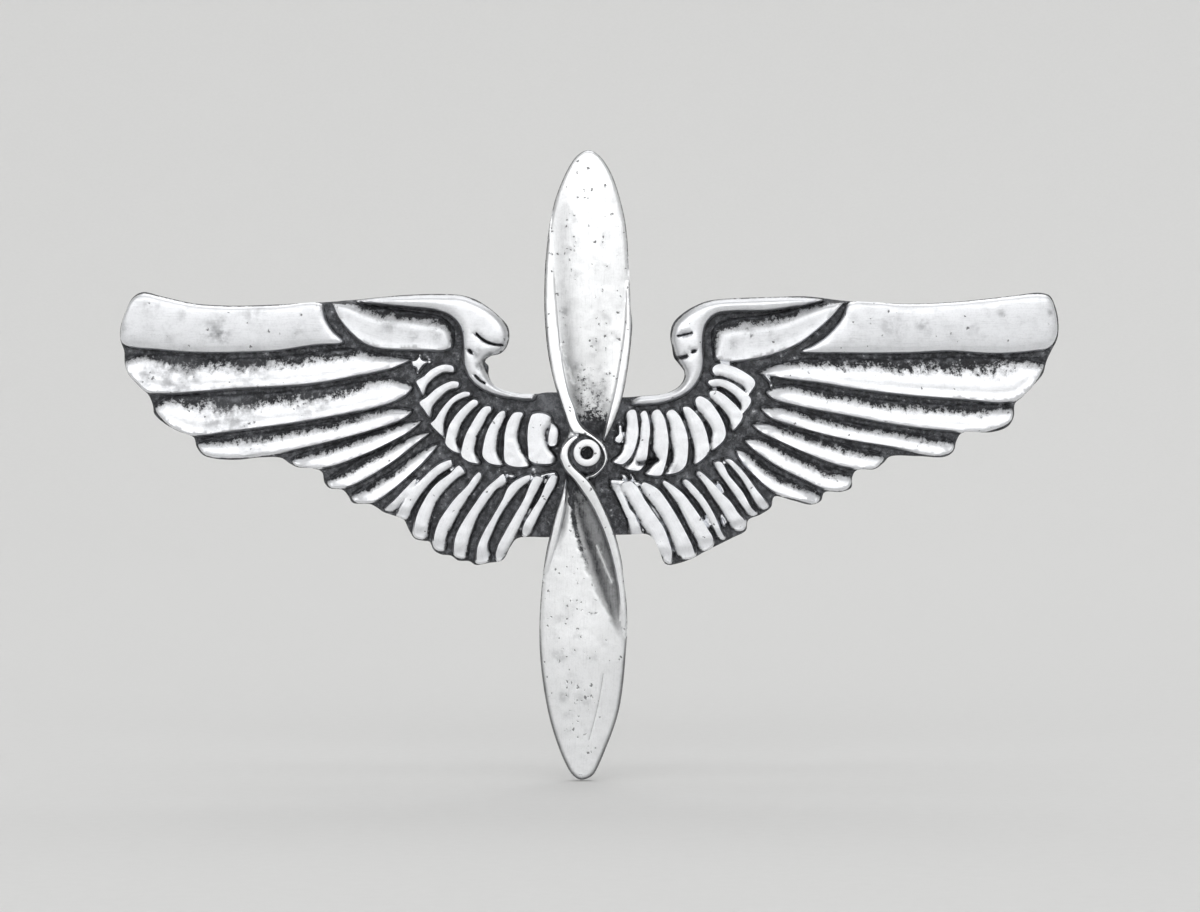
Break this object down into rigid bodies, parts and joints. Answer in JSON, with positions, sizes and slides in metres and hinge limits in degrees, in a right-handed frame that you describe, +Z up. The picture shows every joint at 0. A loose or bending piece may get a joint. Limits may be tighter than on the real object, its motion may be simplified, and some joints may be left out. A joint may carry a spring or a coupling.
{
  "type": "pilot wings pin",
  "caption": "Winged-propeller badge: an upright propeller riveted over spread feathered wings, with a swinging pin stem and a turning safety catch behind.",
  "frame": {"origin": "the plate's flat back face, on the axis of the hub rivet", "axes": "+X to the viewer's right along the wings, +Z up along the upper propeller blade, +Y out of the back towards the wearer's cloth, so the face looks along -Y"},
  "size_m": [0.0764, 0.0078, 0.0511],
  "materials": {
    "plate_silver": "struck silver, dark in the recesses, worn bright on the crests",
    "propeller_silver": "struck silver, polished by wear, finely pitted",
    "rivet_silver": "silver, worn bright",
    "washer_nickel": "plain nickel silver",
    "solder_patch": "nickel silver with a solder line",
    "fitting_nickel": "stamped nickel silver",
    "pivot_steel": "bright steel wire",
    "pin_steel": "drawn and polished steel wire",
    "rotor_nickel": "turned nickel silver"
  },
  "bodies": {
    "badge": {"wing_plate": "plate_silver", "propeller": "propeller_silver", "hub_rivet": "rivet_silver", "rivet_washer": "washer_nickel", "hinge_patch": "solder_patch", "hinge_knuckle": "fitting_nickel", "hinge_rivet": "pivot_steel", "catch_patch": "solder_patch", "catch_case": "fitting_nickel"},
    "pin": {"pin_stem": "pin_steel"},
    "rotor": {"catch_rotor": "rotor_nickel"}
  },
  "joints": [
    {"name": "pin_swing", "type": "hinge", "parent": "badge", "child": "pin", "pos_m": [-0.028, 0.0028, 0.0038], "axis": [0, 0, 1], "range_deg": [0, 90]},
    {"name": "rotor_turn", "type": "hinge", "parent": "badge", "child": "rotor", "pos_m": [0.0275, 0.0028, 0.0038], "axis": [1, 0, 0], "range_deg": [0, 95]}
  ]
}
